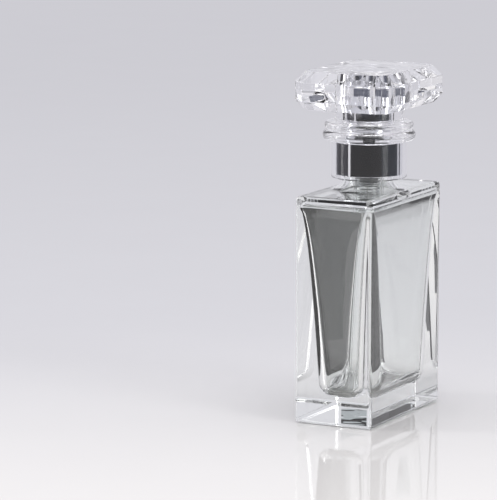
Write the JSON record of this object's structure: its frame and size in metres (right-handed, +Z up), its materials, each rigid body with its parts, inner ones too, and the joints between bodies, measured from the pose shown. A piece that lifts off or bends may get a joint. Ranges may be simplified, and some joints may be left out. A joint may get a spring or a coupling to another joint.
{
  "type": "spray bottle",
  "caption": "Flat rectangular clear glass spray bottle for aftershave, with a polished collar, a press-down pump and a clear faceted lift-off cap.",
  "frame": {"origin": "middle of the base, on the surface the bottle stands on", "axes": "+Z up, +X along the broad faces, -Y out of the broad face that the spray nozzle points from"},
  "size_m": [0.0434, 0.0288, 0.0925],
  "materials": {
    "clear_glass": "clear, polished",
    "clear_acrylic": "clear, polished facets",
    "polished_aluminium": "mirror polished",
    "plain_aluminium": "bright drawn",
    "steel": "bright drawn wire",
    "pump_plastic": "moulded, satin",
    "dark_pump_plastic": "moulded, satin",
    "clear_pump_plastic": "natural translucent, moulded",
    "piston_plastic": "moulded, satin",
    "gasket_plastic": "matt",
    "tube_plastic": "clear, extruded",
    "nozzle_plastic": "moulded, gloss"
  },
  "bodies": {
    "glass_bottle": {"bottle": "clear_glass", "neck_gasket": "gasket_plastic", "crimp_ferrule": "plain_aluminium", "collar": "polished_aluminium", "collar_sleeve": "pump_plastic", "turret": "dark_pump_plastic", "pump_housing": "clear_pump_plastic", "dip_tube": "tube_plastic", "return_spring": "steel"},
    "plunger": {"stem": "dark_pump_plastic", "valve_pin": "pump_plastic", "piston_spring": "steel"},
    "piston": {"piston": "piston_plastic"},
    "spray_head": {"actuator_core": "pump_plastic", "actuator_shell": "polished_aluminium", "nozzle_insert": "nozzle_plastic"},
    "check_ball": {"check_ball": "steel"},
    "cap": {"cap": "clear_acrylic"}
  },
  "joints": [
    {"name": "plunger_press", "type": "slide", "parent": "glass_bottle", "child": "plunger", "axis": [0, 0, -1], "range_m": [0, 0.0035], "stiffness_N_per_m": 2500, "springref_m": -0.003, "deforming": ["return_spring"]},
    {"name": "piston_slide", "type": "slide", "parent": "plunger", "child": "piston", "axis": [0, 0, 1], "range_m": [0, 0.0005], "stiffness_N_per_m": 1500, "springref_m": -0.002, "deforming": ["piston_spring"]},
    {"name": "head_turn", "type": "hinge", "parent": "plunger", "child": "spray_head", "pos_m": [0, 0, 0.08], "axis": [0, 0, 1], "continuous": true},
    {"name": "ball_lift", "type": "slide", "parent": "glass_bottle", "child": "check_ball", "axis": [0, 0, 1], "range_m": [0, 0.0008]},
    {"name": "cap_lift", "type": "slide", "parent": "glass_bottle", "child": "cap", "axis": [0, 0, 1], "range_m": [0, 0.035]}
  ]
}
